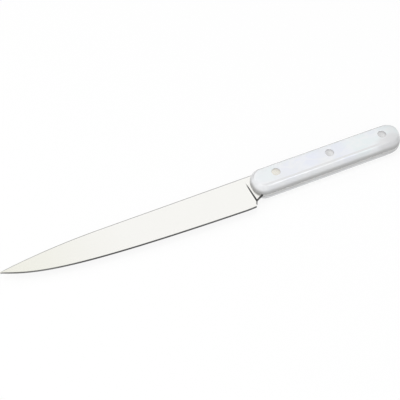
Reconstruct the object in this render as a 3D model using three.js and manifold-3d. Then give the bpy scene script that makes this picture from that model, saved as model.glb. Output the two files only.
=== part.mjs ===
// Fillet knife with a full tang: one steel blank, two handle scales and three two-part rivets.
// Millimetres. The knife lies on its lower scale: +X points from the tip to the butt,
// +Y from the cutting edge to the spine, and +Z up through the thickness of the handle.
// The pieces are drawn with the heel at x = 0, the spine at y = 0 and the middle of the steel at z = 0.

import * as THREE from "three";
import { mergeVertices } from "three/addons/utils/BufferGeometryUtils.js";
import Module from "manifold-3d";

const wasm = await Module();
wasm.setup();

// Steel: the blade's outline
const bladeLength = 200;
const bladeHeight = 30.2;
const spineStraight = 120;
const tipDrop = 6.2;
const tipHeight = 0.7;
const sweepStart = 48;
const sweepStartShare = 0.877;
const sweepEnd = 26;
const sweepEndShare = 0.613;

// Steel: the ground sections
const steelThickness = 2;
const tipThickness = 0.9;
const shoulderThickness = 0.6;
const edgeThickness = 0.08;
const spineEase = 0.25;
const bevelHeight = 1.2;
const plungeSetback = 3;
const plungeLean = 0.9;
const plungeRadius = 1.2;

// Steel: the heel and the choil behind it
const heelRound = 1.6;
const choilSetback = 3.2;
const choilDrop = 2.5;
const choilReach = 5.1;
const choilCover = 1;
const rootOverlap = 1.5;

// Handle
const handleFront = 4.5;
const handleLength = 131.2;
const handleWidth = 23.6;
const handleThickness = 16.5;
const backRise = 1.2;
const frontBellyRadius = 7.5;
const frontFlat = 4.5;
const buttFlat = 1.4;
const sideRound = 3.4;
const glueLine = 0.1;

// Rivets
const rivetFrontMargin = 21.4;
const rivetRearMargin = 15.3;
const headDiameter = 7;
const headThickness = 2;
const crownRise = 0.2;
const crownSink = 0.05;
const sleeveDiameter = 4.8;
const sleeveWall = 0.8;
const rivetClearance = 0.1;
const rivetEndGap = 0.6;
const pinChamfer = 0.3;

// How finely the curves are divided
const bladeStations = 28;
const stationBias = 1.5;
const halvings = 40;
const curveSteps = 8;
const plungeSteps = 9;
const cornerSteps = 9;
const sideSteps = 8;
const roundSteps = 32;
const crownSteps = 4;
const leastStep = 0.03;
const weldDistance = 1e-4;

const halfSteel = steelThickness / 2;
const halfHandle = handleThickness / 2;
const handleEnd = handleFront + handleLength;
const handleBelly = backRise - handleWidth;
const frontSpineRadius = handleWidth - frontFlat - frontBellyRadius;
const buttRadius = (handleWidth - buttFlat) / 2;
const scaleFloor = halfSteel + glueLine;
const scaleHeight = halfHandle - scaleFloor;
const sideRadius = (sideRound ** 2 + scaleHeight ** 2) / (2 * sideRound);
const sideTurn = Math.asin(scaleHeight / sideRadius);
const seatDepth = headThickness + crownRise + crownSink;

// Solids

/** Joins equal rings of points, each counter-clockwise seen from the last ring, into a closed body. */
function loft(rings) {
  const count = rings[0].length;
  const triangles = [];
  for (let ring = 0; ring < rings.length - 1; ring++) {
    for (let i = 0; i < count; i++) {
      const next = (i + 1) % count;
      const a = ring * count + i;
      const b = ring * count + next;
      triangles.push(a, b, b + count, a, b + count, a + count);
    }
  }
  const last = (rings.length - 1) * count;
  for (let i = 1; i < count - 1; i++) {
    triangles.push(0, i + 1, i);
    triangles.push(last, last + i, last + i + 1);
  }
  const geometry = new THREE.BufferGeometry().setFromPoints(rings.flat());
  geometry.setIndex(triangles);
  return geometry;
}

/** Turns a closed geometry into a solid that can be joined and cut. */
function solid(geometry) {
  const bare = geometry.clone();
  bare.deleteAttribute("normal");
  bare.deleteAttribute("uv");
  const merged = mergeVertices(bare, weldDistance);
  const index = merged.index.array;
  const triangles = [];
  for (let i = 0; i < index.length; i += 3) {
    const [a, b, c] = [index[i], index[i + 1], index[i + 2]];
    if (a !== b && b !== c && c !== a) triangles.push(a, b, c);
  }
  const vertProperties = new Float32Array(merged.attributes.position.array);
  const triVerts = new Uint32Array(triangles);
  return new wasm.Manifold(new wasm.Mesh({ numProp: 3, vertProperties, triVerts }));
}

/** Gives the faces of a solid back as a geometry. */
function faces(body) {
  const { vertProperties, triVerts } = body.getMesh();
  const geometry = new THREE.BufferGeometry();
  geometry.setAttribute("position", new THREE.BufferAttribute(new Float32Array(vertProperties), 3));
  geometry.setIndex(new THREE.BufferAttribute(new Uint32Array(triVerts), 1));
  return geometry;
}

/** The same revolve profile upside down, still running from low to high. */
function flipped(profile) {
  return profile.map(([radius, height]) => [radius, -height]).reverse();
}

/** Revolves [radius, height] points about a line along Z that stands at x, y. */
function revolve(profile, x = 0, y = 0) {
  const points = profile.map(([radius, height]) => new THREE.Vector2(radius, height));
  return new THREE.LatheGeometry(points, roundSteps).rotateX(Math.PI / 2).translate(x, y, 0);
}

// Handle outline and rivet places

/** The outline of the handle seen from above, drawn in by inset on every side. */
function handleOutline(inset) {
  const corners = [
    [handleFront, handleBelly, frontBellyRadius, Math.PI],
    [handleEnd, handleBelly, buttRadius, 1.5 * Math.PI],
    [handleEnd, backRise, buttRadius, 0],
    [handleFront, backRise, frontSpineRadius, 0.5 * Math.PI],
  ];
  return corners.flatMap(([x, y, radius, start]) => {
    const centreX = x + (x === handleFront ? radius : -radius);
    const centreY = y + (y === backRise ? -radius : radius);
    return Array.from({ length: cornerSteps + 1 }, (_, step) => {
      const angle = start + (step / cornerSteps) * (Math.PI / 2);
      const reach = radius - inset;
      return new THREE.Vector2(centreX + reach * Math.cos(angle), centreY + reach * Math.sin(angle));
    });
  });
}

const rivetPitch = (handleLength - rivetFrontMargin - rivetRearMargin) / 2;
const rivetLine = (backRise + handleBelly) / 2;
const rivets = ["front", "middle", "rear"].map((name, place) => ({
  name: `${name}_rivet`,
  x: handleFront + rivetFrontMargin + place * rivetPitch,
}));

// Blade blank

const edgeCurve = new THREE.CubicBezierCurve(
  new THREE.Vector2(0, -bladeHeight),
  new THREE.Vector2(sweepStart - bladeLength, -bladeHeight * sweepStartShare),
  new THREE.Vector2(sweepEnd - bladeLength, -bladeHeight * sweepEndShare),
  new THREE.Vector2(-bladeLength, -tipDrop - tipHeight),
);
const choilEnd = new THREE.Vector2(handleFront + choilReach, handleBelly + choilCover);
const choilBend = new THREE.Vector2((2 * choilSetback + choilEnd.x) / 3, handleBelly - choilCover / 3);
const heelPath = new THREE.Path()
  .moveTo(0, -bladeHeight)
  .quadraticCurveTo(heelRound, heelRound / 2 - bladeHeight, choilSetback, handleBelly - choilDrop)
  .quadraticCurveTo(choilBend.x, choilBend.y, choilEnd.x, choilEnd.y);
const heelPoints = heelPath.getPoints(curveSteps);
const bladeRoot = handleFront + frontSpineRadius + rootOverlap;

/** Height of the spine: straight from the handle, then a parabola down to the tip. */
function spineHeight(x) {
  const along = Math.max(0, (-x - spineStraight) / (bladeLength - spineStraight));
  return -tipDrop * along ** 2;
}

/** Height of the lower outline: the cutting edge, the heel, the choil and the hidden root. */
function bellyHeight(x) {
  if (x <= 0) {
    let [low, high] = [0, 1];
    for (let halving = 0; halving < halvings; halving++) {
      const middle = (low + high) / 2;
      if (edgeCurve.getPoint(middle).x > x) low = middle;
      else high = middle;
    }
    return edgeCurve.getPoint(low).y;
  }
  if (x >= choilEnd.x) return choilEnd.y;
  const next = heelPoints.findIndex((point) => point.x >= x);
  const [from, to] = [heelPoints[next - 1], heelPoints[next]];
  return THREE.MathUtils.mapLinear(x, from.x, to.x, from.y, to.y);
}

/** How much of its full thickness the steel has kept: none past the leaning plunge line, all behind it. */
function plungeShare(x, y) {
  const line = plungeSetback - plungeLean * (1 + y / bladeHeight);
  const along = THREE.MathUtils.clamp((x - line) / plungeRadius + 1, 0, 1);
  return 1 - Math.sqrt(1 - along ** 2);
}

/** One section of the blade: an eased spine, a flat grind down to the shoulder, then the cutting bevel. */
function bladeSection(x) {
  const top = spineHeight(x);
  const bottom = bellyHeight(x);
  const edge = x <= 0 ? bottom : -bladeHeight;
  const bevel = Math.min(bevelHeight, (top - edge) / 2);
  const shoulder = edge + bevel;
  const topHalf = THREE.MathUtils.lerp(halfSteel, tipThickness / 2, Math.max(0, -x / bladeLength));
  const shoulderHalf = Math.min(shoulderThickness / 2, topHalf);

  const halfAt = (y) => {
    const ground = y >= shoulder
      ? THREE.MathUtils.mapLinear(y, top, shoulder, topHalf, shoulderHalf)
      : THREE.MathUtils.mapLinear(y, shoulder, edge, shoulderHalf, edgeThickness / 2);
    return THREE.MathUtils.lerp(ground, halfSteel, plungeShare(x, y));
  };

  const turn = Math.max(shoulder, bottom + bevel / 2);
  const ease = Math.min(spineEase, (top - turn) / 2, topHalf / 2);
  const upper = [top - ease, turn, bottom].map((y) => new THREE.Vector3(x, y, halfAt(y)));
  upper.unshift(new THREE.Vector3(x, top, halfAt(top) - ease));
  const lower = upper.map((point) => new THREE.Vector3(x, point.y, -point.z)).reverse();
  return [...upper, ...lower];
}

function bladeBlank() {
  const wanted = [bladeRoot, ...heelPoints.map((point) => point.x)];
  for (let i = 0; i <= bladeStations; i++) {
    wanted.push(-bladeLength * (1 - (i / bladeStations) ** stationBias));
  }
  for (let i = 0; i <= plungeSteps; i++) {
    wanted.push(plungeSetback - (plungeLean + plungeRadius) * (1 - i / plungeSteps));
  }
  const stations = wanted
    .sort((a, b) => a - b)
    .filter((x, i, all) => i === 0 || x - all[i - 1] > leastStep);
  const tangShape = new THREE.Shape(handleOutline(0));
  const tang = new THREE.ExtrudeGeometry(tangShape, { depth: steelThickness, bevelEnabled: false });
  tang.translate(0, 0, -halfSteel);
  const holeRadius = sleeveDiameter / 2 + rivetClearance;
  const holeProfile = [[0, -steelThickness], [holeRadius, -steelThickness],
    [holeRadius, steelThickness], [0, steelThickness]];
  return rivets.reduce(
    (blank, { x }) => blank.subtract(solid(revolve(holeProfile, x, rivetLine))),
    solid(loft(stations.map(bladeSection))).add(solid(tang)),
  );
}

// Scales

/** A handle half: its sides lean in along an arc up to the flat face, which is bored for the rivets. */
function scaleSlab(upper) {
  const rings = Array.from({ length: sideSteps + 1 }, (_, step) => {
    const angle = (step / sideSteps) * sideTurn;
    const inset = sideRadius * (1 - Math.cos(angle));
    const height = scaleFloor + sideRadius * Math.sin(angle);
    return handleOutline(inset).map(({ x, y }) => new THREE.Vector3(x, y, upper ? height : -height));
  });
  const boreRadius = sleeveDiameter / 2 + rivetClearance;
  const seatRadius = headDiameter / 2 + rivetClearance;
  const seatFloor = halfHandle - seatDepth - rivetClearance;
  const bore = [[0, 0], [boreRadius, 0], [boreRadius, seatFloor], [seatRadius, seatFloor],
    [seatRadius, handleThickness], [0, handleThickness]];
  return rivets.reduce(
    (slab, { x }) => slab.subtract(solid(revolve(upper ? bore : flipped(bore), x, rivetLine))),
    solid(loft(upper ? rings : rings.reverse())),
  );
}

// Rivets

const headFloor = halfHandle - seatDepth;
const headRim = headFloor + headThickness;

/** The domed top of a rivet head, from its rim to its crown. */
function headCrown() {
  return Array.from({ length: crownSteps + 1 }, (_, step) => {
    const out = 1 - step / crownSteps;
    return [headDiameter / 2 * out, headRim + crownRise * (1 - out ** 2)];
  });
}

/** The half with the tube: its head sits in the upper scale. */
function rivetSleeve(x) {
  const bore = sleeveDiameter / 2 - sleeveWall;
  const tubeEnd = rivetEndGap - headFloor;
  return revolve([[0, headFloor], [bore, headFloor], [bore, tubeEnd], [sleeveDiameter / 2, tubeEnd],
    [sleeveDiameter / 2, headFloor], [headDiameter / 2, headFloor], ...headCrown()], x, rivetLine);
}

/** The half with the pin that is driven into the tube: its head sits in the lower scale. */
function rivetPin(x) {
  const pin = sleeveDiameter / 2 - sleeveWall - rivetClearance;
  const pinEnd = headFloor - rivetEndGap;
  return revolve([...flipped(headCrown()), [headDiameter / 2, -headFloor], [pin, -headFloor],
    [pin, pinEnd - pinChamfer], [pin - pinChamfer, pinEnd], [0, pinEnd]], x, rivetLine);
}

// Materials and assembly

const steel = () => new THREE.MeshStandardMaterial({ color: 0xe6e6e2, roughness: 0.18, metalness: 1 });
const pearl = () => new THREE.MeshStandardMaterial({ color: 0xe8ebef, roughness: 0.2, metalness: 0 });
const rivetSteel = () => new THREE.MeshStandardMaterial({ color: 0xd2cec4, roughness: 0.3, metalness: 1 });

const knife = new THREE.Group();
knife.position.set((bladeLength - handleEnd) / 2, (bladeHeight - backRise) / 2, halfHandle);

function place(name, geometry, material) {
  const mesh = new THREE.Mesh(geometry, material);
  mesh.name = name;
  knife.add(mesh);
  return mesh;
}

place("blade", faces(bladeBlank()), steel());
place("upper_scale", faces(scaleSlab(true)), pearl());
place("lower_scale", faces(scaleSlab(false)), pearl());
for (const { name, x } of rivets) {
  place(`${name}_sleeve`, rivetSleeve(x), rivetSteel());
  place(`${name}_pin`, rivetPin(x), rivetSteel());
}

export default knife;
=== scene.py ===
"""Looks of a fillet knife: a ground steel blade with a full tang, two pearl scales and three rivets.

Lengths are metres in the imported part's own frame. The knife lies on its lower scale: +X runs from the tip
to the butt, +Y from the cutting edge to the spine and +Z up through the thickness of the handle. Shapes are
drawn with the heel at x = 0, the spine at y = 0 and the middle of the steel at z = 0, then put in place.
"""

import logging
import math
from abc import ABC, abstractmethod
from collections.abc import Mapping, Sequence
from dataclasses import dataclass, field
from enum import Enum, IntEnum
from typing import Any

import bpy
import numpy as np
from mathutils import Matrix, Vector


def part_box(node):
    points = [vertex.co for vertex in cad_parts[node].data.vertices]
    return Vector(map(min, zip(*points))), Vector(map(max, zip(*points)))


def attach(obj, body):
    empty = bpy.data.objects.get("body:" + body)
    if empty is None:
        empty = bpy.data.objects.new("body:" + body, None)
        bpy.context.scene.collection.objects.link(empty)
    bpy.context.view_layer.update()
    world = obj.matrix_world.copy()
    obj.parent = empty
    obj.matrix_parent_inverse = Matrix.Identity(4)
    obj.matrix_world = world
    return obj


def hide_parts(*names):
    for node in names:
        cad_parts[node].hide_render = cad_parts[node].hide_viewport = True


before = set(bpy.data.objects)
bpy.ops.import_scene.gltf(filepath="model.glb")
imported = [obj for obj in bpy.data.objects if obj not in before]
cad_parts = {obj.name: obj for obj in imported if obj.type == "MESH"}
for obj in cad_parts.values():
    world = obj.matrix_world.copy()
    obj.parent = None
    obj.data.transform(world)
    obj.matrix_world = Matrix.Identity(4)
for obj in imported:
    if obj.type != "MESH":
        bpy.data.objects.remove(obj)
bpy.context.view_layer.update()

LOG = logging.getLogger("fillet_knife")
MM = 0.001
QUARTER = math.pi / 2
NOISE_MEAN = 0.5
ROUND_STEPS = 96
CURVE_SAMPLES = 600

Colour = tuple[float, float, float]
Triple = tuple[float, float, float]
Range = tuple[float, float]
Skin = tuple[np.ndarray, list[list[int]]]


class Side(Enum):
    """The two broad sides of the knife, with the sign of their height above the steel."""

    UPPER = 1
    LOWER = -1


class RivetPlace(Enum):
    """The three rivets, counted from the blade."""

    FRONT = 0
    MIDDLE = 1
    REAR = 2


class SteelZone(IntEnum):
    """The zones of the blank that are finished differently, in the order of its material slots."""

    FACE = 0
    BEVEL = 1
    CHOIL = 2
    RIM = 3
    SPINE = 4


class Wire:
    """A shader output that takes part in Python arithmetic: each operator adds one Math node."""

    def __init__(self, graph: "ShaderGraph", socket: bpy.types.NodeSocket) -> None:
        """Keeps the output and the graph that it belongs to."""
        self.graph = graph
        self.socket = socket

    def maths(self, operation: str, first: Any, second: Any) -> "Wire":
        """Adds a Math node of the given operation on two values."""
        return self.graph.node("ShaderNodeMath", {"operation": operation}, {0: first, 1: second})

    def __add__(self, other: "Wire | float") -> "Wire":
        """Sum of two values."""
        return self.maths("ADD", self, other)

    def __radd__(self, other: float) -> "Wire":
        """Sum with the number on the left."""
        return self.maths("ADD", other, self)

    def __sub__(self, other: "Wire | float") -> "Wire":
        """Difference of two values."""
        return self.maths("SUBTRACT", self, other)

    def __rsub__(self, other: float) -> "Wire":
        """Difference with the number on the left."""
        return self.maths("SUBTRACT", other, self)

    def __mul__(self, other: "Wire | float") -> "Wire":
        """Product of two values."""
        return self.maths("MULTIPLY", self, other)

    def __rmul__(self, other: float) -> "Wire":
        """Product with the number on the left."""
        return self.maths("MULTIPLY", other, self)

    def __abs__(self) -> "Wire":
        """Size of a value without its sign."""
        return self.maths("ABSOLUTE", self, 0.0)


class ShaderGraph:
    """Node tree of one material, or of the world, written as Python expressions."""

    def __init__(self, owner: bpy.types.Material | bpy.types.World) -> None:
        """Empties the owner's node tree.

        Args:
            owner: The material or world that the graph belongs to.
        """
        owner.use_nodes = True
        self.tree = owner.node_tree
        self.tree.nodes.clear()

    def node(
        self,
        kind: str,
        settings: Mapping[str, Any] | None = None,
        sockets: Mapping[str | int, Any] | None = None,
        output: str | int = 0,
    ) -> Wire:
        """Adds any node.

        Args:
            kind: The node's type.
            settings: Its own settings, set first.
            sockets: The value or link of each input, by name or number.
            output: The output that is wanted.

        Returns:
            That output.
        """
        made = self.tree.nodes.new(kind)
        for name, value in (settings or {}).items():
            setattr(made, name, value)
        for key, value in (sockets or {}).items():
            if isinstance(value, Wire):
                self.tree.links.new(value.socket, made.inputs[key])
            else:
                made.inputs[key].default_value = value
        return Wire(self, made.outputs[output] if made.outputs else None)

    def step(self, value: Wire, low: float, high: float) -> Wire:
        """Smooth step: 0 below low, 1 above high, with an S curve between them."""
        return self.node(
            "ShaderNodeMapRange",
            {"interpolation_type": "SMOOTHSTEP"},
            {"Value": value, "From Min": low, "From Max": high},
        )

    def mix(self, share: Wire, first: Wire | Colour, second: Wire | Colour) -> Wire:
        """Blends two colours: the first where the share is 0, the second where it is 1."""
        colours = [shade if isinstance(shade, Wire) else (*shade, 1.0) for shade in (first, second)]
        return self.node("ShaderNodeMix", {"data_type": "RGBA"}, {0: share, 6: colours[0], 7: colours[1]}, 2)

    def part(self, vector: Wire, axis: str) -> Wire:
        """The X, Y or Z of a vector."""
        return self.node("ShaderNodeSeparateXYZ", None, {0: vector}, axis)

    def stretched(self, coordinates: Wire, scale: Triple, shift: Triple = (0.0, 0.0, 0.0)) -> Wire:
        """Coordinates moved by shift after each axis is multiplied by its scale."""
        sockets = {"Vector": coordinates, "Location": shift, "Scale": scale}
        return self.node("ShaderNodeMapping", None, sockets)

    def noise(self, coordinates: Wire, scale: float, detail: float, output: str = "Fac") -> Wire:
        """Soft noise with the given number of lumps per metre of its coordinates."""
        sockets = {"Vector": coordinates, "Scale": scale, "Detail": detail}
        return self.node("ShaderNodeTexNoise", None, sockets, output)

    def bump(self, height: Wire, strength: float, depth: float) -> Wire:
        """Normals of a surface that rises by height times depth."""
        return self.node("ShaderNodeBump", None, {"Strength": strength, "Distance": depth, "Height": height})


class Finish(ABC):
    """A named surface finish that is made into a material once."""

    name: str

    @abstractmethod
    def shader(self, graph: ShaderGraph) -> Wire:
        """Writes the finish into a graph and returns its shader."""

    def material(self) -> bpy.types.Material:
        """Makes the material at its first use, and finds it by its name after that.

        Returns:
            The material with this finish.
        """
        known = bpy.data.materials.get(self.name)
        if known is not None:
            return known
        made = bpy.data.materials.new(self.name)
        graph = ShaderGraph(made)
        graph.node("ShaderNodeOutputMaterial", None, {"Surface": self.shader(graph)})
        return made


@dataclass(frozen=True)
class SteelFinish(Finish):
    """Worked steel with fine lines from its last tool.

    The colour runs from colour to end_colour along X, turns to the painted shade of fillet_shade_colour where
    the surface leans towards the tip, less so near the spine, and the lines vary the gloss and lift the
    surface a little.

    Attributes:
        lines: How many lines there are per metre along each axis.
        end_colour: The colour after the run, where it differs.
        fillet_shade_colour: The painted shade where the surface leans, where it differs from the end colour.
        run: The two x between which the colour changes.
        lean: How far the normal leans towards the tip where the fillet's colour starts and is full.
        fade: The two y between which the fillet's painted shade fades towards the spine.
    """

    name: str
    colour: Colour
    roughness: float
    roughness_spread: float
    lines: Triple
    line_depth: float
    end_colour: Colour | None = None
    fillet_shade_colour: Colour | None = None
    run: Range = (-0.168, 0.168)
    lean: Range = (0.02, 0.15)
    fade: Range = (4.7 * MM, 9.7 * MM)
    line_share: float = 0.6
    line_strength: float = 0.25
    smear_scale: float = 45.0

    def shader(self, graph: ShaderGraph) -> Wire:
        """Principled metal: line noise drives roughness and bump, place and lean drive the colour and its
        painted shade.

        Args:
            graph: The material's graph.

        Returns:
            The shader.
        """
        place = graph.node("ShaderNodeTexCoord", output="Object")
        along = graph.part(place, "X")
        across = graph.part(place, "Y")
        normal = graph.node("ShaderNodeTexCoord", output="Normal")
        leaning = graph.part(normal, "X") * -1.0
        end_colour = self.end_colour or self.colour
        tint = graph.mix(graph.step(along, *self.run), self.colour, end_colour)
        # Painted shade where the surface leans towards the tip, as in the plunge fillet, fading towards the
        # spine.
        fillet = graph.step(leaning, *self.lean) * (1.0 - graph.step(across, *self.fade))
        tint = graph.mix(fillet, tint, self.fillet_shade_colour or end_colour)
        hairs = graph.noise(graph.stretched(place, self.lines), 1.0, detail=3.0)
        smear = graph.noise(place, self.smear_scale, detail=2.0)
        worn = hairs * self.line_share + smear * (1.0 - self.line_share)
        return graph.node(
            "ShaderNodeBsdfPrincipled",
            None,
            {
                "Base Color": tint,
                "Metallic": 1.0,
                "Roughness": self.roughness + (worn - NOISE_MEAN) * self.roughness_spread,
                "Normal": graph.bump(hairs, self.line_strength, self.line_depth),
            },
        )


@dataclass(frozen=True)
class CloudNoise:
    """Soft noise in the plastic: its lumps per metre, its detail, and the stretch and shift of each axis."""

    scale: float
    detail: float
    stretch: Triple
    shift: Triple = (0.0, 0.0, 0.0)

    def at(self, graph: ShaderGraph, coordinates: Wire, output: str = "Fac") -> Wire:
        """The noise at the given coordinates."""
        stretched = graph.stretched(coordinates, self.stretch, self.shift)
        return graph.noise(stretched, self.scale, self.detail, output)


@dataclass(frozen=True)
class PearlFinish(Finish):
    """Cast pearl plastic: drifting clouds of white, lavender, pale green and grey under a clear gloss.

    Lavender shows mostly on the flat faces. Painted shade darkens the plastic next to the tang, on the back
    and in a patch at the butt; a painted dark reflection draws a thin line where a face turns down to the
    belly.

    Attributes:
        middle: The height of the middle of the steel.
        blushes: Patches of more lavender, each with its x, y and reach, as hazes and the painted shade_patches
            have.
        drift: How far the slow noise bends the clouds.
        side_blush: The share of the lavender that is left on the sides.
        face_rise: Heights from the middle between which a side turns into a flat face.
        joint_shade_rise: The height from the middle where the painted shade by the tang is strongest; it fades
            by joint_shade_reach.
        back_shade_lean: How far the normal leans to the back where the painted shade on the back starts and is
            full.
        shade_line_lean: The lean to the belly where the thin line of painted dark reflection starts; it ends
            at side_lean.
        shade_line_start: The two x between which the painted line fades in; it fades out at shade_line_end.
    """

    middle: float
    name: str = "pearl_plastic"
    ground: Colour = (0.805, 0.815, 0.825)
    lavender: Colour = (0.775, 0.795, 0.875)
    mist: Colour = (0.785, 0.835, 0.845)
    cloud: Colour = (0.845, 0.85, 0.86)
    # Grey of the grey clouds, also used as painted shade in the shade patch and as a painted dark line along
    # the margin.
    smoke_and_shade_grey: Colour = (0.72, 0.725, 0.735)
    # Painted shade by the tang, where the scales meet it.
    joint_shade: Colour = (0.47, 0.47, 0.47)
    # Painted shade on the side that leans to the back.
    back: Colour = (0.66, 0.665, 0.67)
    slow_noise: CloudNoise = CloudNoise(38.0, 2.0, (0.6, 1.0, 1.0))
    blush_noise: CloudNoise = CloudNoise(34.0, 2.0, (0.75, 1.0, 1.0), (0.31, 0.12, 0.0))
    haze_noise: CloudNoise = CloudNoise(30.0, 2.0, (0.75, 1.0, 1.0), (0.77, 0.53, 0.2))
    wisp_noise: CloudNoise = CloudNoise(48.0, 3.0, (0.7, 1.3, 1.0), (0.15, 0.9, 0.4))
    blush_levels: Range = (0.42, 0.74)
    haze_levels: Range = (0.44, 0.76)
    wisp_levels: Range = (0.0, 0.06)
    smoke_and_shade_levels: Range = (0.14, 0.33)
    blushes: tuple[Triple, ...] = ((0.0736, 0.003, 0.019), (0.0902, 0.0035, 0.016), (0.1181, 0.0035, 0.018))
    hazes: tuple[Triple, ...] = ((0.133, 0.0045, 0.018), (0.0493, 0.007, 0.016))
    # A patch of painted shade at the butt's corner by the belly.
    shade_patches: tuple[Triple, ...] = ((0.156, -0.007, 0.0125),)
    patch_core: float = 0.25
    patch_lift: float = 0.2
    drift: float = 16.0 * MM
    side_blush: float = 0.35
    wisp_share: float = 0.5
    smoke_share: float = 0.25
    face_rise: Range = (7.0 * MM, 8.1 * MM)
    joint_shade_rise: float = 1.5 * MM
    joint_shade_reach: Range = (1.2 * MM, 4.5 * MM)
    back_shade_lean: Range = (0.0, 0.35)
    shade_line_lean: Range = (0.03, 0.05)
    side_lean: Range = (0.1, 0.3)
    shade_line_start: Range = (0.04, 0.046)
    shade_line_end: Range = (0.143, 0.153)
    roughness: float = 0.24
    roughness_spread: float = 0.1
    coat: float = 0.6
    coat_roughness: float = 0.06
    ripple_scale: float = 420.0
    ripple_strength: float = 0.12
    ripple_depth: float = 0.02 * MM

    def clouded(self, graph: ShaderGraph, bent: Wire, level: Wire, patches: Sequence[Triple]) -> Wire:
        """Raises a noise level in soft round patches: in full within patch_core of a patch's reach.

        Args:
            graph: The material's graph.
            bent: The place after its drift.
            level: The noise level.
            patches: The x, y and reach of each patch.

        Returns:
            The raised level.
        """
        for x, y, reach in patches:
            sockets = {0: graph.stretched(bent, (1.0, 1.0, 0.0)), 1: (x, y, 0.0)}
            away = graph.node("ShaderNodeVectorMath", {"operation": "DISTANCE"}, sockets, "Value")
            level = level + (1.0 - graph.step(away, self.patch_core * reach, reach)) * self.patch_lift
        return level

    def bent(self, graph: ShaderGraph, place: Wire) -> Wire:
        """Moves the place by a slow noise about its mean, so that the clouds drift.

        Args:
            graph: The material's graph.
            place: The place on the piece.

        Returns:
            The place after its drift.
        """
        slow = self.slow_noise.at(graph, place, "Color")
        mean = (NOISE_MEAN, NOISE_MEAN, NOISE_MEAN)
        pull = graph.node("ShaderNodeVectorMath", {"operation": "SUBTRACT"}, {0: slow, 1: mean})
        pull = graph.node("ShaderNodeVectorMath", {"operation": "SCALE"}, {0: pull, "Scale": self.drift})
        return graph.node("ShaderNodeVectorMath", {"operation": "ADD"}, {0: place, 1: pull})

    def clouds(self, graph: ShaderGraph, bent: Wire, haze: Wire, height: Wire) -> Wire:
        """Tone of the plastic: noise levels choose among its white, lavender, green and grey; in the shade
        patches the grey is painted shade.

        Args:
            graph: The material's graph.
            bent: The place after its drift.
            haze: The noise that the pale green and the grey follow.
            height: The height above the floor.

        Returns:
            The colour.
        """
        blush = self.clouded(graph, bent, self.blush_noise.at(graph, bent), self.blushes)
        misted = self.clouded(graph, bent, haze, self.hazes)
        # Grey clouds from the haze noise, raised into painted shade in the shade patches.
        smoke_and_shade = self.clouded(graph, bent, haze * self.smoke_share, self.shade_patches)
        wisps = abs(self.wisp_noise.at(graph, bent) - NOISE_MEAN)
        flat = graph.step(abs(height - self.middle), *self.face_rise)
        on_face = self.side_blush + flat * (1.0 - self.side_blush)
        tone = graph.mix(graph.step(blush, *self.blush_levels) * on_face, self.ground, self.lavender)
        tone = graph.mix(graph.step(misted, *self.haze_levels), tone, self.mist)
        tone = graph.mix((1.0 - graph.step(wisps, *self.wisp_levels)) * self.wisp_share, tone, self.cloud)
        return graph.mix(graph.step(smoke_and_shade, *self.smoke_and_shade_levels), tone, self.smoke_and_shade_grey)

    def shader(self, graph: ShaderGraph) -> Wire:
        """Principled plastic: the clouds, with painted shade by the tang and on the back, and a painted dark
        line along the margin.

        Args:
            graph: The material's graph.

        Returns:
            The shader.
        """
        place = graph.node("ShaderNodeTexCoord", output="Object")
        along = graph.part(place, "X")
        height = graph.part(place, "Z")
        normal = graph.node("ShaderNodeTexCoord", output="Normal")
        lean = graph.part(normal, "Y")
        bent = self.bent(graph, place)
        haze = self.haze_noise.at(graph, bent)
        tone = self.clouds(graph, bent, haze, height)
        # Painted shade by the tang: darkest a little above the middle of the steel.
        joint_shade_share = 1.0 - graph.step(abs(height - self.middle - self.joint_shade_rise), *self.joint_shade_reach)
        tone = graph.mix(joint_shade_share, tone, self.joint_shade)
        # Painted shade where the surface leans to the back.
        tone = graph.mix(graph.step(lean, *self.back_shade_lean), tone, self.back)
        # Painted dark reflection: a thin grey line where a face turns down to the belly, on the straight
        # stretch.
        straight = graph.step(along, *self.shade_line_start) * (1.0 - graph.step(along, *self.shade_line_end))
        belly = lean * -1.0
        margin = graph.step(belly, *self.shade_line_lean) * (1.0 - graph.step(belly, *self.side_lean))
        tone = graph.mix(margin * straight, tone, self.smoke_and_shade_grey)
        ripple = graph.noise(place, self.ripple_scale, detail=1.0)
        return graph.node(
            "ShaderNodeBsdfPrincipled",
            None,
            {
                "Base Color": tone,
                "Roughness": self.roughness + (haze - NOISE_MEAN) * self.roughness_spread,
                "Coat Weight": self.coat,
                "Coat Roughness": self.coat_roughness,
                "Normal": graph.bump(ripple, self.ripple_strength, self.ripple_depth),
            },
        )


# Polished face; its fillet shade colour is a painted dark reflection in the plunge fillet.
POLISHED_FACE = SteelFinish(
    name="polished_face",
    colour=(0.76, 0.755, 0.69),
    end_colour=(0.81, 0.805, 0.78),
    fillet_shade_colour=(0.07, 0.07, 0.07),
    run=(-0.168, -0.06),
    roughness=0.17,
    roughness_spread=0.08,
    lines=(14.0, 2600.0, 2600.0),
    line_depth=0.004 * MM,
)
# Honed cutting bevel; its dark colour, darkening away from the tip, is a painted dark reflection.
HONED_BEVEL_PAINTED_DARK = SteelFinish(
    name="honed_bevel_painted_dark",
    colour=(0.42, 0.42, 0.41),
    end_colour=(0.155, 0.155, 0.155),
    run=(-0.155, -0.095),
    roughness=0.3,
    roughness_spread=0.12,
    lines=(3200.0, 50.0, 50.0),
    line_depth=0.006 * MM,
)
# Choil and the bands beside it: painted shade, near black past the heel.
CHOIL_PAINTED_SHADE = SteelFinish(
    name="choil_painted_shade",
    colour=(0.25, 0.25, 0.25),
    end_colour=(0.07, 0.07, 0.07),
    run=(0.0332, 0.0347),
    roughness=0.42,
    roughness_spread=0.16,
    lines=(30.0, 30.0, 2400.0),
    line_depth=0.008 * MM,
)
GROUND_RIM = SteelFinish(
    name="ground_rim",
    colour=(0.57, 0.57, 0.565),
    roughness=0.38,
    roughness_spread=0.16,
    lines=(30.0, 30.0, 2400.0),
    line_depth=0.008 * MM,
)
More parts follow.
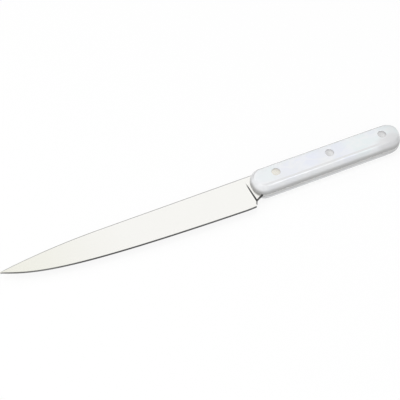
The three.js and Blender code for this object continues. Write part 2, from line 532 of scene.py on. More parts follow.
# Eased spine; its colour, darker away from the tip, is a painted dark reflection.
EASED_SPINE_PAINTED_DARK = SteelFinish(
    name="eased_spine_painted_dark",
    colour=(0.55, 0.55, 0.54),
    end_colour=(0.35, 0.35, 0.34),
    run=(-0.165, -0.11),
    roughness=0.3,
    roughness_spread=0.12,
    lines=(30.0, 2400.0, 2400.0),
    line_depth=0.006 * MM,
)


def rivet_finish(place: RivetPlace, middle: float, reach: float) -> SteelFinish:
    """Flush rivet steel: warm at the front rivet; at the other two, painted shade greys the head towards the
    tip and it lightens towards the butt.

    Args:
        place: Which rivet it is.
        middle: The x of the rivet's axis.
        reach: The radius of its head.

    Returns:
        The finish of both its halves.
    """
    warm = (0.76, 0.74, 0.68)
    # Painted shade across the middle and rear heads: grey on the side towards the tip, light towards the butt.
    grey = (0.6, 0.6, 0.605)
    light = (0.8, 0.8, 0.805)
    colour, end_colour = (warm, warm) if place is RivetPlace.FRONT else (grey, light)
    return SteelFinish(
        name=f"{place.name.lower()}_rivet_steel",
        colour=colour,
        end_colour=end_colour,
        fillet_shade_colour=colour,
        run=(middle - reach, middle + reach),
        roughness=0.26,
        roughness_spread=0.1,
        lines=(60.0, 2200.0, 60.0),
        line_depth=0.006 * MM,
    )


def bezier(corners: Sequence[tuple[float, float]]) -> np.ndarray:
    """Points of a Bezier curve: its corners weighted by the Bernstein polynomials of even steps from 0 to 1.

    Args:
        corners: The curve's control points, three or four of them.

    Returns:
        CURVE_SAMPLES points, one a row.
    """
    step = np.linspace(0.0, 1.0, CURVE_SAMPLES)
    degree = len(corners) - 1
    weights = [math.comb(degree, k) * step**k * (1.0 - step) ** (degree - k) for k in range(degree + 1)]
    return np.stack(weights, axis=1) @ np.array(corners)


def corner_drop(distance: np.ndarray, radius: float) -> np.ndarray:
    """How far a rounded end stands in from its straight side: radius minus the height of a circle."""
    inside = radius - np.clip(distance, 0.0, radius)
    return radius - np.sqrt(radius**2 - inside**2)


def loft(rings: np.ndarray) -> Skin:
    """Skins a stack of closed rings and fills both ends.

    Each quad joins two neighbouring points of a ring to the same points of the next ring, and the last point
    of a ring runs on to its first. Rings run counter-clockwise seen from the last one, so faces point out.

    Args:
        rings: Points by ring, place in the ring and axis.

    Returns:
        The points and the faces: the quads ring by ring, then the first and the last end.
    """
    count, around, _ = rings.shape
    ring, place = np.meshgrid(np.arange(count - 1), np.arange(around), indexing="ij")
    here = ring * around + place
    beside = ring * around + (place + 1) % around
    quads = np.stack((here, beside, beside + around, here + around), axis=-1).reshape(-1, 4)
    end = np.arange(around)
    return rings.reshape(-1, 3), [*quads.tolist(), end[::-1].tolist(), (end + (count - 1) * around).tolist()]


def revolve(profile: Sequence[tuple[float, float]], axis: Vector) -> Skin:
    """Turns a profile about an upright line.

    A profile point (radius, height) becomes the ring (radius cos a, radius sin a, height) with a running
    through a full turn. The first and last points lie on the axis and are closed by fans of triangles.

    Args:
        profile: Points from the lower to the upper pole, with the body on the left of the walk.
        axis: Where the line stands; its z is added to the heights.

    Returns:
        The points and the faces.
    """
    outline = np.array(profile)
    angle = np.linspace(0.0, 2.0 * math.pi, ROUND_STEPS, endpoint=False)
    radius = outline[1:-1, :1]
    height = np.broadcast_to(outline[1:-1, 1:], (len(outline) - 2, ROUND_STEPS))
    rings = np.stack((radius * np.cos(angle), radius * np.sin(angle), height), axis=-1)
    poles = [(0.0, 0.0, outline[0, 1]), (0.0, 0.0, outline[-1, 1])]
    points, faces = loft(rings)
    here = np.arange(ROUND_STEPS)
    beside = np.roll(here, -1)
    low = np.full(ROUND_STEPS, len(points))
    last = (len(rings) - 1) * ROUND_STEPS
    fans = np.concatenate(
        (np.stack((low, beside, here), axis=1), np.stack((here + last, beside + last, low + 1), axis=1))
    )
    return np.concatenate((points, poles)) + np.array(axis), [*faces[:-2], *fans.tolist()]


def flipped(profile: Sequence[tuple[float, float]]) -> list[tuple[float, float]]:
    """The same revolve profile upside down, still running from low to high."""
    return [(radius, -height) for radius, height in reversed(profile)]


def new_object(name: str, skin: Skin, finishes: Sequence[Finish] = ()) -> bpy.types.Object:
    """Puts points and faces into a new mesh object in the scene.

    Args:
        name: The name of the mesh and of the object.
        skin: The points and the faces.
        finishes: The finish of each material slot.

    Returns:
        The object.
    """
    points, faces = skin
    mesh = bpy.data.meshes.new(name)
    mesh.from_pydata(points.tolist(), [], faces)
    mesh.update()
    for finish in finishes:
        mesh.materials.append(finish.material())
    made = bpy.data.objects.new(name, mesh)
    bpy.context.scene.collection.objects.link(made)
    return made


def bore(piece: bpy.types.Object, tool_skin: Skin) -> None:
    """Cuts a closed tool out of a piece and keeps the cut mesh.

    Args:
        piece: The object that is cut.
        tool_skin: The points and the faces of the tool.
    """
    tool = new_object(f"{piece.name}_drill", tool_skin)
    cut = piece.modifiers.new("bore", "BOOLEAN")
    cut.operation = "DIFFERENCE"
    cut.solver = "EXACT"
    cut.object = tool
    whole = piece.data
    piece.data = bpy.data.meshes.new_from_object(piece.evaluated_get(bpy.context.evaluated_depsgraph_get()))
    piece.modifiers.clear()
    piece.data.name = piece.name
    bpy.data.meshes.remove(whole)
    bpy.data.meshes.remove(tool.data)


def dress(piece: bpy.types.Object, node: str, crease: float) -> bpy.types.Object:
    """Shades a piece smooth and lets it stand for its node.

    Args:
        piece: The finished mesh object.
        node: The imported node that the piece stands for.
        crease: Faces that meet at more than this angle, in degrees, keep a hard edge.

    Returns:
        The same piece.
    """
    piece.data.shade_smooth()
    piece.data.set_sharp_from_angle(angle=math.radians(crease))
    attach(piece, "root")
    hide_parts(node)
    LOG.info("%s: %d points, %d faces", piece.name, len(piece.data.vertices), len(piece.data.polygons))
    return piece


@dataclass(frozen=True)
class Drawing:
    """What the pieces share: the handle's outline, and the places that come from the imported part."""

    blade_length: float = 200 * MM
    back: float = 1.2 * MM
    front_belly_radius: float = 10.3 * MM
    front_flat: float = 2.6 * MM
    butt_belly_radius: float = 11.3 * MM
    butt_flat: float = 2.8 * MM
    rivet_rise: float = 1.1 * MM
    tip: Vector = field(default_factory=lambda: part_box("blade")[0])
    handle_low: Vector = field(default_factory=lambda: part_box("lower_scale")[0])
    handle_high: Vector = field(default_factory=lambda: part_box("upper_scale")[1])

    @property
    def origin(self) -> Vector:
        """Place of the drawing's zero: at the heel, on the spine, in the middle of the steel."""
        middle = (self.handle_low.z + self.handle_high.z) / 2
        return Vector((self.tip.x + self.blade_length, self.handle_high.y - self.back, middle))

    @property
    def front(self) -> float:
        """Distance from the heel to the handle's front end."""
        return self.handle_low.x - self.origin.x

    @property
    def end(self) -> float:
        """Distance from the heel to the butt."""
        return self.handle_high.x - self.origin.x

    @property
    def width(self) -> float:
        """Width of the handle from belly to back."""
        return self.handle_high.y - self.handle_low.y

    @property
    def belly(self) -> float:
        """Height of the handle's belly above the spine, below zero."""
        return self.back - self.width

    @property
    def half(self) -> float:
        """Half the thickness of the handle."""
        return self.handle_high.z - self.origin.z

    @property
    def front_spine_radius(self) -> float:
        """Radius of the front corner at the spine: what the flat and the belly corner leave."""
        return self.width - self.front_flat - self.front_belly_radius

    @property
    def butt_spine_radius(self) -> float:
        """Radius of the butt's corner at the spine: what the flat and the belly corner leave."""
        return self.width - self.butt_flat - self.butt_belly_radius

    def rivet_axis(self, place: RivetPlace) -> Vector:
        """Middle of a rivet: in the middle of the steel, rivet_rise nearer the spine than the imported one."""
        low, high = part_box(f"{place.name.lower()}_rivet_sleeve")
        return Vector(((low.x + high.x) / 2, (low.y + high.y) / 2 + self.rivet_rise, self.origin.z))


@dataclass
class BladeBlank:
    """The steel blank: the ground blade, its heel and choil, and the full tang with its rivet holes."""

    drawing: Drawing
    height: float = 29.45 * MM
    heel_lift: float = 0.45 * MM
    heel_run: float = 10 * MM
    spine_straight: float = 120 * MM
    tip_drop: float = 6.1 * MM
    tip_height: float = 1.2 * MM
    sweep_start: float = 48 * MM
    sweep_start_share: float = 0.9055
    sweep_end: float = 26 * MM
    sweep_end_share: float = 0.6475
    steel_half: float = 1.0 * MM
    tip_half: float = 0.45 * MM
    shoulder_half: float = 0.3 * MM
    edge_half: float = 0.04 * MM
    spine_ease: float = 0.25 * MM
    spine_roll: float = 0.6 * MM
    rim_ease: float = 0.12 * MM
    rim_share: float = 0.8
    bevel_height: float = 1.2 * MM
    plunge_setback: float = 3.7 * MM
    plunge_lean: float = 2.0 * MM
    plunge_radius: float = 1.5 * MM
    heel_round: float = 1.7 * MM
    choil_setback: float = 3.3 * MM
    choil_drop: float = 1.5 * MM
    choil_reach: float = 6.4 * MM
    choil_cover: float = 2.0 * MM
    choil_hollow: float = 0.35 * MM
    choil_start: float = 1.2 * MM
    # Widths of the bands beside the heel and the choil that carry painted shade.
    heel_shade_band: float = 1.8 * MM
    choil_shade_band: float = 0.9 * MM
    point_round: float = 0.6 * MM
    point_taper: float = 12 * MM
    point_share: float = 0.45
    hole_radius: float = 2.5 * MM
    least_step: float = 0.02 * MM
    point_start: float = 0.15
    point_steps: int = 12
    blade_steps: int = 170
    heel_steps: int = 70
    plunge_steps: int = 60
    tang_steps: int = 60
    butt_steps: int = 28
    arc_steps: int = 13
    face_steps: int = 16
    cut_steps: int = 4
    crease: float = 9.0

    def spine(self, x: np.ndarray) -> np.ndarray:
        """Upper outline: a parabola up from the tip, a straight spine, then the handle's back.

        Args:
            x: Distances from the heel.

        Returns:
            The outline's heights above the straight spine.
        """
        draw = self.drawing
        fall = np.clip(-x - self.spine_straight, 0.0, None) / (draw.blade_length - self.spine_straight)
        blade = -self.tip_drop * fall**2
        front = corner_drop(x - draw.front, draw.front_spine_radius)
        tang = draw.back - np.maximum(front, corner_drop(draw.end - x, draw.butt_spine_radius))
        return np.where(x < draw.front + draw.front_spine_radius, np.maximum(blade, tang), tang)

    def belly(self, x: np.ndarray) -> np.ndarray:
        """Lower outline: the cutting edge, the heel and choil, then the belly of the tang.

        The edge is a cubic Bezier curve whose last heel_run is lifted along a parabola. Heel and choil are a
        quadratic one each, and the tang is a straight line with a quarter circle at both ends. Where choil
        and tang overlap the lower one counts.

        Args:
            x: Distances from the heel.

        Returns:
            The outline's heights above the straight spine, below zero.
        """
        draw = self.drawing
        edge = bezier(
            [
                (0.0, -self.height - self.heel_lift),
                (self.sweep_start - draw.blade_length, -self.height * self.sweep_start_share),
                (self.sweep_end - draw.blade_length, -self.height * self.sweep_end_share),
                (-draw.blade_length, -self.tip_drop - self.tip_height),
            ]
        )[::-1]
        edge[:, 1] += self.heel_lift * np.clip(1.0 + edge[:, 0] / self.heel_run, 0.0, 1.0) ** 2
        setback = (self.choil_setback, draw.belly - self.choil_drop)
        cover = (draw.front + self.choil_reach, draw.belly + self.choil_cover)
        bend = ((2.0 * setback[0] + cover[0]) / 3.0, (2.0 * setback[1] + cover[1]) / 3.0 + self.choil_hollow)
        heel = bezier([(0.0, -self.height), (self.heel_round, self.heel_round - self.height), setback])
        outline = np.concatenate((edge, heel[1:], bezier([setback, bend, cover])[1:]))
        blade = np.interp(x, outline[:, 0], outline[:, 1])
        front = corner_drop(x - draw.front, draw.front_belly_radius)
        tang = draw.belly + np.maximum(front, corner_drop(draw.end - x, draw.butt_belly_radius))
        tang = np.where(x < draw.front, blade, tang)
        return np.where(x < cover[0], np.minimum(blade, tang), tang)

    def stations(self) -> np.ndarray:
        """Places of the sections, close together where the outline or the grind turns.

        Even steps along the straight stretches and even angles round the point and the butt, sorted, without
        those that lie closer together than least_step.

        Returns:
            Distances from the heel.
        """
        draw = self.drawing
        point = np.linspace(self.point_start, QUARTER, self.point_steps)
        turn = np.linspace(0.0, QUARTER, self.butt_steps)
        cover = draw.front + self.choil_reach
        butt = draw.end - draw.butt_belly_radius
        plunge = self.plunge_setback - self.plunge_lean - self.plunge_radius
        wanted = np.concatenate(
            (
                self.point_round * (1.0 - np.cos(point)) - draw.blade_length,
                np.linspace(self.point_round - draw.blade_length, 0.0, self.blade_steps),
                np.linspace(0.0, cover, self.heel_steps),
                np.linspace(plunge, self.plunge_setback, self.plunge_steps),
                np.linspace(cover, butt, self.tang_steps),
                butt + draw.butt_belly_radius * np.sin(turn),
            )
        )
        wanted = np.sort(wanted)
        return wanted[np.append(True, np.diff(wanted) > self.least_step)]

    def half_sections(self, x: np.ndarray) -> tuple[np.ndarray, np.ndarray, np.ndarray]:
        """Upper halves of all sections, from the middle of the spine over the face to the middle of the edge.

        The half thickness falls in a straight line from the spine to the shoulder and in a steeper one to
        the edge. Behind the leaning plunge line it grows to the full steel along a quarter circle. A quarter
        ellipse eases the spine and a quarter circle the rim. The strip along the lower outline is the cutting
        bevel on the edge, and a band of painted shade heel_shade_band wide behind the heel and
        choil_shade_band wide along the choil.

        Args:
            x: The sections' places, one a row.

        Returns:
            Height and half thickness by section and point, and the zone of the strip after each point.
        """
        x = x[:, None]
        top = self.spine(x)
        bottom = self.belly(x)
        edge = np.where(x <= 0.0, bottom, -self.height)
        bevel = np.minimum(self.bevel_height, (top - edge) / 2)
        shoulder = edge + bevel
        places = ((self.choil_start + self.choil_setback) / 2, self.choil_setback)
        strip = np.interp(x, places, (self.heel_shade_band, self.choil_shade_band))
        strip = np.where(x < self.choil_start, self.bevel_height / 2, strip)
        turn = np.maximum(shoulder, bottom + np.minimum(strip, (top - bottom) / 2))
        taper = np.clip(-x / self.drawing.blade_length, 0.0, None)
        top_half = self.steel_half + (self.tip_half - self.steel_half) * taper
        shoulder_half = np.minimum(self.shoulder_half, top_half)

        def half(y: np.ndarray) -> np.ndarray:
            """Half thickness of each section at the given heights.

            Args:
                y: The heights, by section and point.

            Returns:
                The half thickness there.
            """
            face = top_half + (shoulder_half - top_half) * (top - y) / (top - shoulder)
            cut = shoulder_half + (self.edge_half - shoulder_half) * (shoulder - y) / bevel
            ground = np.where(y >= shoulder, face, cut)
            line = self.plunge_setback - self.plunge_lean * (1.0 + y / self.height)
            reach = np.clip((x - line) / self.plunge_radius + 1.0, 0.0, 1.0)
            return ground + (self.steel_half - ground) * (1.0 - np.sqrt(1.0 - reach**2))

        arc = np.linspace(0.0, QUARTER, self.arc_steps)
        ease = np.minimum(self.spine_ease, top_half / 2)
        roll = np.minimum(self.spine_roll, (top - turn) / 4)
        rim = self.rim_share * np.minimum(self.rim_ease, half(bottom))
        eased = top - roll
        low = bottom + rim
        face = eased + (turn - eased) * np.linspace(0.0, 1.0, self.face_steps + 1)[1:]
        cut = turn + (low - turn) * np.linspace(0.0, 1.0, self.cut_steps + 1)[1:]
        flat = np.zeros_like(x)
        heights = (top, eased + roll * np.cos(arc), face, cut, low - rim * np.sin(arc[1:]), bottom)
        halves = (
            flat,
            half(eased) - ease * (1.0 - np.sin(arc)),
            half(face),
            half(cut),
            half(low) - rim * (1.0 - np.cos(arc[1:])),
            flat,
        )
        return np.concatenate(heights, axis=1), np.concatenate(halves, axis=1), self.zones(x, bottom)

    def zones(self, x: np.ndarray, bottom: np.ndarray) -> np.ndarray:
        """Zones of the half sections' strips, from the spine to the edge.

        Args:
            x: The sections' places, one a row.
            bottom: The lower outline there.

        Returns:
            The zone by section and strip.
        """
        draw = self.drawing
        on_edge = x < self.heel_round / 4
        corner = draw.belly + corner_drop(x - draw.front, draw.front_belly_radius)
        in_choil = (x > self.choil_start) & ((x < draw.front) | (bottom < corner - self.least_step))
        back = np.where(x < draw.front + draw.front_spine_radius, SteelZone.SPINE, SteelZone.RIM)
        # The choil and its bands take the choil's painted shade.
        choil_shaded = np.where(in_choil, SteelZone.CHOIL, SteelZone.FACE)
        behind = np.where(in_choil | (x < draw.front), choil_shaded, SteelZone.RIM)
        columns = (
            (back, self.arc_steps),
            (np.full_like(back, SteelZone.FACE), self.face_steps),
            (np.where(on_edge, SteelZone.BEVEL, choil_shaded), self.cut_steps),
            (np.where(on_edge, SteelZone.BEVEL, behind), self.arc_steps),
        )
        return np.concatenate([np.repeat(zone, count, axis=1) for zone, count in columns], axis=1)

    def build(self) -> bpy.types.Object:
        """Carries the sections along the knife, draws the point in and bores the tang.

        Over point_taper the steel thins along a parabola to point_share of its thickness at the tip. Over
        point_round the sections shrink to their middle along a quarter circle.

        Returns:
            The finished blade.
        """
        x = self.stations()
        y, half, zones = self.half_sections(x)
        from_tip = x[:, None] + self.drawing.blade_length
        slim = np.clip(from_tip / self.point_taper, 0.0, 1.0)
        half = half * (self.point_share + (1.0 - self.point_share) * slim * (2.0 - slim))
        draw_in = np.clip(from_tip / self.point_round, 0.0, 1.0)
        draw_in = np.sqrt(draw_in * (2.0 - draw_in))
        middle = (y[:, :1] + y[:, -1:]) / 2
        y = middle + (y - middle) * draw_in
        half = half * draw_in
        ring_y = np.concatenate((y, y[:, -2:0:-1]), axis=1)
        ring_z = np.concatenate((half, -half[:, -2:0:-1]), axis=1)
        rings = np.stack((np.broadcast_to(x[:, None], ring_y.shape), ring_y, ring_z), axis=-1)
        points, faces = loft(rings + np.array(self.drawing.origin))
        finishes = (POLISHED_FACE, HONED_BEVEL_PAINTED_DARK, CHOIL_PAINTED_SHADE, GROUND_RIM, EASED_SPINE_PAINTED_DARK)
        piece = new_object("ground_blade", (points, faces), finishes)
        strips = np.concatenate((zones[:-1], zones[:-1, ::-1]), axis=1).ravel()
        ends = (SteelZone.BEVEL, SteelZone.RIM)
        piece.data.polygons.foreach_set("material_index", np.append(strips, ends).astype(np.int32))
        reach = 2.0 * self.steel_half
        hole = [(0.0, -reach), (self.hole_radius, -reach), (self.hole_radius, reach), (0.0, reach)]
        for place in RivetPlace:
            bore(piece, revolve(hole, self.drawing.rivet_axis(place)))
        return dress(piece, "blade", self.crease)


@dataclass
class HandleScale:
    """One half of the handle: sides that lean in along an arc to a flat face, bored for the rivets."""

    drawing: Drawing
    side: Side
    floor: float = 1.1 * MM
    side_round: float = 3.4 * MM
    shoulder_radius: float = 1.6 * MM
    inner_break: float = 0.2 * MM
    bore_radius: float = 2.5 * MM
    dome_reach: float = 7.0 * MM
    dome_drop: float = 0.12 * MM
    butt_fall: float = 1.6 * MM
    butt_run: float = 18.0 * MM
    corner_fall: float = 2.4 * MM
    butt_share: float = 0.35
    seat_radius: float = 3.53 * MM
    seat_floor: float = 5.9 * MM
    seat_break: float = 0.04 * MM
    corner_steps: int = 40
    line_steps: int = 24
    break_steps: int = 5
    side_steps: int = 30
    shoulder_steps: int = 14
    dome_steps: int = 9
    face_steps: int = 12
    face_shrink: float = 0.9
    crease: float = 28.0

    def outline(self, inset: np.ndarray) -> np.ndarray:
        """Outlines of the handle seen from above, each drawn in by its inset.

        Four quarter circles joined by straight lines: a smaller radius about the same middle draws a corner
        in by as much as the straight sides move. The butt stands more upright and moves in by butt_share of
        that, so its corners are quarter ellipses. The points of the lines crowd towards both their ends.

        Args:
            inset: One inset for each outline.

        Returns:
            Points by outline, place and axis, counter-clockwise from above.
        """
        draw = self.drawing
        radius = np.array(
            [draw.front_belly_radius, draw.butt_belly_radius, draw.butt_spine_radius, draw.front_spine_radius]
        )
        corner_x = np.array([draw.front, draw.end, draw.end, draw.front])
        corner_y = np.array([draw.belly, draw.belly, draw.back, draw.back])
        middle_x = corner_x + radius * np.array([1.0, -1.0, -1.0, 1.0])
        middle_y = corner_y + radius * np.array([1.0, 1.0, -1.0, -1.0])
        start = math.pi + QUARTER * np.arange(4.0)
        angle = start[:, None] + np.linspace(0.0, QUARTER, self.corner_steps + 1)
        share = np.array([1.0, self.butt_share, self.butt_share, 1.0])
        inset = inset[:, None, None]
        x = middle_x[:, None] + (radius[:, None] - inset * share[:, None]) * np.cos(angle)
        y = middle_y[:, None] + (radius[:, None] - inset) * np.sin(angle)
        corners = np.stack((x, y), axis=-1)
        leave = corners[:, :, -1:]
        arrive = np.roll(corners[:, :, :1], -1, axis=1)
        along = (1.0 - np.cos(np.linspace(0.0, math.pi, self.line_steps + 1)[1:-1])) / 2
        lines = leave + (arrive - leave) * along[:, None]
        return np.concatenate((corners, lines), axis=2).reshape(len(inset), -1, 2)

    def side_profile(self) -> tuple[np.ndarray, np.ndarray, float]:
        """How far the outlines are drawn in and how high they lie, from the tang to the inside of the face.

        The side is an arc that stands upright at the tang and has drawn in by side_round at the height of the
        flat face. A smaller circle inside it rounds the shoulder between them, a quarter circle breaks the
        inner edge, and a flat margin as wide as dome_reach starts the face.

        Returns:
            The insets, the heights above the middle of the steel, and the inset where the flat starts.
        """
        rise = self.drawing.half - self.floor
        radius = (self.side_round**2 + rise**2) / (2.0 * self.side_round)
        small = self.shoulder_radius
        meet = math.asin((rise - small) / (radius - small))
        turn = np.linspace(0.0, QUARTER, self.break_steps + 1)[:-1]
        side = np.linspace(math.asin(self.inner_break / radius), meet, self.side_steps)
        bend = np.linspace(meet, QUARTER, self.shoulder_steps)[1:]
        flat_start = radius - (radius - small) * math.cos(meet)
        insets = (
            self.inner_break * (1.0 - np.sin(turn)),
            radius * (1.0 - np.cos(side)),
            flat_start - small * np.cos(bend),
            np.linspace(flat_start, self.dome_reach, self.dome_steps)[1:],
        )
        rises = (
            self.inner_break * (1.0 - np.cos(turn)),
            radius * np.sin(side),
            rise - small + small * np.sin(bend),
            np.full(self.dome_steps - 1, rise),
        )
        return np.concatenate(insets), self.floor + np.concatenate(rises), flat_start

    def rings(self) -> np.ndarray:
        """Rings of the scale's skin, from its inner face out, round the middle of the steel.

        Inside the margin the outlines shrink evenly towards the middle line, so that the face can bend. The
        margin falls along a parabola towards the shoulder by dome_drop. The last butt_run of the handle falls
        along another one by butt_fall, and by corner_fall more towards the belly.

        Returns:
            Points by ring, place in the ring and axis.
        """
        draw = self.drawing
        inset, height, flat_start = self.side_profile()
        flat = self.outline(inset)
        shrink = np.linspace(0.0, self.face_shrink, self.face_steps + 1)[1:, None, None]
        half_width = draw.width / 2
        middle_x = np.clip(flat[-1:, :, :1], draw.front + half_width, draw.end - half_width)
        middle = np.concatenate((middle_x, np.full_like(middle_x, draw.back - half_width)), axis=-1)
        flat = np.concatenate((flat, flat[-1:] + (middle - flat[-1:]) * shrink))
        inset = np.append(inset, np.full(self.face_steps, self.dome_reach))[:, None, None]
        height = np.append(height, np.full(self.face_steps, draw.half))[:, None, None]
        margin = np.clip((self.dome_reach - inset) / (self.dome_reach - flat_start), 0.0, 1.0)
        aft = np.clip((flat[..., :1] - draw.end) / self.butt_run + 1.0, 0.0, 1.0)
        near = np.clip((draw.back - flat[..., 1:]) / half_width - 1.0, 0.0, 1.0)
        drop = self.dome_drop * margin**2 + (self.butt_fall + self.corner_fall * near**2) * aft**2
        level = self.floor + (height - self.floor) * (1.0 - drop / (draw.half - self.floor))
        return np.concatenate((flat, self.side.value * level), axis=-1)

    def build(self) -> bpy.types.Object:
        """Skins the rings, in the order that turns the faces out, and bores the rivet seats.

        Returns:
            The finished scale.
        """
        draw = self.drawing
        rings = self.rings()[:: self.side.value] + np.array(draw.origin)
        name = f"{self.side.name.lower()}_scale"
        piece = new_object(f"pearl_{name}", loft(rings), (PearlFinish(draw.origin.z),))
        above = 2.0 * draw.half
        seat = [
            (0.0, 0.0),
            (self.bore_radius, 0.0),
            (self.bore_radius, self.seat_floor),
            (self.seat_radius, self.seat_floor),
            (self.seat_radius, draw.half - self.seat_break),
            (self.seat_radius + self.seat_break, draw.half),
            (self.seat_radius + self.seat_break, above),
            (0.0, above),
        ]
        profile = seat if self.side is Side.UPPER else flipped(seat)
        for place in RivetPlace:
            bore(piece, revolve(profile, draw.rivet_axis(place)))
        return dress(piece, name, self.crease)


@dataclass
class Rivet:
    """A two-part rivet: a tube with a head in the upper scale and a pin with a head in the lower one."""

    drawing: Drawing
    place: RivetPlace
    head_radius: float = 3.5 * MM
    head_floor: float = 6.0 * MM
    head_rim: float = 8.0 * MM
    crown_rise: float = 0.2 * MM
    rim_break: float = 0.08 * MM
    tube_radius: float = 2.4 * MM
    tube_bore: float = 1.6 * MM
    pin_radius: float = 1.5 * MM
    end_height: float = 5.4 * MM
    end_break: float = 0.3 * MM
    tube_break: float = 0.1 * MM
    rim_steps: int = 6
    crown_steps: int = 14
    crease: float = 28.0

    def crown(self) -> list[tuple[float, float]]:
        """Top of a head: a small quarter circle at the rim, then a parabola up to the crown.

        Returns:
            Radius and height of each point, from the rim to the axis.
        """
        turn = np.linspace(0.0, QUARTER, self.rim_steps)
        rim_radius = self.head_radius - self.rim_break * (1.0 - np.cos(turn))
        rim_height = self.head_rim - self.rim_break * (1.0 - np.sin(turn))
        out = np.linspace(1.0, 0.0, self.crown_steps + 1)[1:]
        dome_radius = (self.head_radius - self.rim_break) * out
        dome_height = self.head_rim + self.crown_rise * (1.0 - out**2)
        radius = np.concatenate((rim_radius, dome_radius))
        height = np.concatenate((rim_height, dome_height))
        return list(zip(radius.tolist(), height.tolist()))

    def sleeve(self) -> list[tuple[float, float]]:
        """Profile of the tube and its head, from the bottom of the bore to the crown.

        Returns:
            Radius and height of each point.
        """
        tip = -self.end_height
        edge = self.tube_break
        return [
            (0.0, self.head_floor),
            (self.tube_bore, self.head_floor),
            (self.tube_bore, tip + edge),
            (self.tube_bore + edge, tip),
            (self.tube_radius - edge, tip),
            (self.tube_radius, tip + edge),
            (self.tube_radius, self.head_floor),
            (self.head_radius, self.head_floor),
            *self.crown(),
        ]

    def pin(self) -> list[tuple[float, float]]:
        """Profile of the pin, from the crown of its head up to its end."""
        return [
            *flipped(self.crown()),
            (self.head_radius, -self.head_floor),
            (self.pin_radius, -self.head_floor),
            (self.pin_radius, self.end_height - self.end_break),
            (self.pin_radius - self.end_break, self.end_height),
            (0.0, self.end_height),
        ]

    def build(self) -> list[bpy.types.Object]:
        """Turns both halves on the rivet's axis.

        Returns:
            The sleeve and the pin.
        """
        axis = self.drawing.rivet_axis(self.place)
        finish = (rivet_finish(self.place, axis.x, self.head_radius),)
        made = []
        for half, profile in (("sleeve", self.sleeve()), ("pin", self.pin())):
            node = f"{self.place.name.lower()}_rivet_{half}"
            piece = new_object(f"turned_{node}", revolve(profile, axis), finish)
            made.append(dress(piece, node, self.crease))
        return made


@dataclass(frozen=True)
class SoftLamp:
    """A square lamp that either lights softly or only shows in the gloss."""

    name: str
    place: Triple
    size: float
    watts: float
    in_gloss: bool = False

    def hang(self, aim: Vector) -> None:
        """Puts the lamp in the scene, turned to the given point.

        Args:
            aim: The point that the lamp shines at.
        """
        light = bpy.data.lights.new(self.name, "AREA")
        light.size = self.size
        light.energy = self.watts
        lamp = bpy.data.objects.new(self.name, light)
        lamp.location = self.place
        lamp.rotation_euler = (aim - lamp.location).to_track_quat("-Z", "Y").to_euler()
        lamp.visible_glossy = self.in_gloss
        lamp.visible_diffuse = not self.in_gloss
        bpy.context.scene.collection.objects.link(lamp)


@dataclass(frozen=True)
class FloorFinish(Finish):
    """White ground: it shines white to the eye and to gloss, and keeps a share of the shadow."""

    name: str = "white_ground"
    colour: Colour = (0.95, 0.95, 0.95)
    bounce_colour: Colour = (0.6, 0.6, 0.6)
    shadow_share: float = 0.15

    def shader(self, graph: ShaderGraph) -> Wire:
        """Matt ground, mixed with plain white light for rays that come from the eye or from gloss.

        Args:
            graph: The material's graph.

        Returns:
            The shader.
        """
        eye = graph.node("ShaderNodeLightPath", output="Is Camera Ray")
        gloss = graph.node("ShaderNodeLightPath", output="Is Glossy Ray")
        seen = eye.maths("MAXIMUM", eye, gloss)
        tone = graph.mix(seen, self.bounce_colour, self.colour)
        matt = graph.node("ShaderNodeBsdfDiffuse", None, {"Color": tone})
        white = graph.node("ShaderNodeEmission", None, {"Strength": 1.0})
        shine = seen * (1.0 - self.shadow_share)
        return graph.node("ShaderNodeMixShader", None, {0: shine, 1: matt, 2: white})


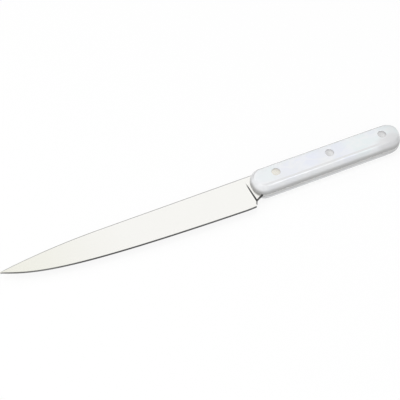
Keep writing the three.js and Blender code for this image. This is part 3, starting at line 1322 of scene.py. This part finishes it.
@dataclass
class Studio:
    """Floor, soft light, white surroundings and the camera."""

    aim: Triple = (-5.15 * MM, 9.16 * MM, 8.48 * MM)
    azimuth: float = -23.71
    elevation: float = 54.25
    distance: float = 853.3 * MM
    lens: float = 98.76
    sensor: float = 36.0
    near_clip: float = 10 * MM
    floor_reach: float = 6.0
    floor_level: float = -0.02 * MM
    panel_light: float = 1.45
    panel_foot: Range = (36.0, 46.0)
    panel_head: Range = (66.0, 76.0)
    panel_face: Range = (0.1, 0.35)
    panel_end: Range = (0.42, 0.66)
    near_light: float = 0.9
    far_light: float = 0.5
    far_turn: Range = (-0.4, 0.6)
    overhead_light: float = 0.5
    butt_shade: float = 0.22
    butt_turn: Range = (0.1, 0.8)
    lamps: tuple[SoftLamp, ...] = (
        SoftLamp("key_lamp", (-0.1, -0.1, 1.8), 1.0, 10.6),
        SoftLamp("front_lamp", (-1.3, -0.2, 0.9), 0.8, 5.0),
        SoftLamp("shoulder_lamp", (0.44, -0.51, 1.02), 0.45, 4.0, in_gloss=True),
    )

    def set_camera(self) -> None:
        """Places the camera on a ball about its aim, by azimuth, elevation and distance."""
        turn = math.radians(self.azimuth)
        rise = math.radians(self.elevation)
        back = Vector(
            (math.sin(turn) * math.cos(rise), -math.cos(turn) * math.cos(rise), math.sin(rise))
        )
        lens = bpy.data.cameras.new("camera")
        lens.sensor_width = self.sensor
        lens.lens = self.lens
        lens.clip_start = self.near_clip
        camera = bpy.data.objects.new("camera", lens)
        camera.location = Vector(self.aim) + back * self.distance
        camera.rotation_euler = (-back).to_track_quat("-Z", "Y").to_euler()
        bpy.context.scene.collection.objects.link(camera)
        bpy.context.scene.camera = camera

    def lay_floor(self) -> None:
        """One wide square just under the knife."""
        corners = np.array([(-1.0, -1.0, 0.0), (1.0, -1.0, 0.0), (1.0, 1.0, 0.0), (-1.0, 1.0, 0.0)])
        points = corners * self.floor_reach + (0.0, 0.0, self.floor_level)
        floor = new_object("floor", (points, [[0, 1, 2, 3]]), (FloorFinish(),))

    def light(self) -> None:
        """Hangs the lamps and fills the world with soft light.

        The world is white to the eye. Its light differs between the camera's side and the far side and falls
        off overhead and beyond the butt. A bright panel stands across the far side, between two elevations,
        and ends beyond the butt.
        """
        for lamp in self.lamps:
            lamp.hang(Vector(self.aim))
        world = bpy.data.worlds.new("studio_air")
        bpy.context.scene.world = world
        graph = ShaderGraph(world)
        turn = math.radians(self.azimuth)
        away = (-math.sin(turn), math.cos(turn), 0.0)
        foot = np.sin(np.radians(self.panel_foot)).tolist()
        head = np.sin(np.radians(self.panel_head)).tolist()
        look = graph.node("ShaderNodeTexCoord", output="Object")
        height = graph.part(look, "Z")
        beyond = graph.node("ShaderNodeVectorMath", {"operation": "DOT_PRODUCT"}, {0: look, 1: away}, "Value")
        over = graph.step(height, *head)
        air = self.near_light + graph.step(beyond, *self.far_turn) * (self.far_light - self.near_light)
        aside = graph.part(look, "X")
        air = air * (1.0 - graph.step(aside, *self.butt_turn) * self.butt_shade)
        air = air + over * (self.overhead_light - air)
        shine = graph.step(height, *foot) * (1.0 - over) * graph.step(beyond, *self.panel_face)
        shine = shine * (1.0 - graph.step(aside, *self.panel_end))
        level = air + shine * (self.panel_light - air)
        studio = graph.node("ShaderNodeBackground", None, {"Strength": level})
        white = graph.node("ShaderNodeBackground", None, {"Color": (1.0, 1.0, 1.0, 1.0)})
        eye = graph.node("ShaderNodeLightPath", output="Is Camera Ray")
        seen = graph.node("ShaderNodeMixShader", None, {0: eye, 1: studio, 2: white})
        graph.node("ShaderNodeOutputWorld", None, {"Surface": seen})

    def set_up(self) -> None:
        """Makes the camera, the floor and the light."""
        bpy.context.scene.view_settings.view_transform = "Standard"
        self.set_camera()
        self.lay_floor()
        self.light()


def main() -> None:
    """Builds the studio and the knife, piece by piece."""
    logging.basicConfig(level=logging.INFO, format="%(name)s: %(message)s")
    Studio().set_up()
    drawing = Drawing()
    BladeBlank(drawing).build()
    for side in Side:
        HandleScale(drawing, side).build()
    for place in RivetPlace:
        Rivet(drawing, place).build()


if __name__ == "__main__":
    main()
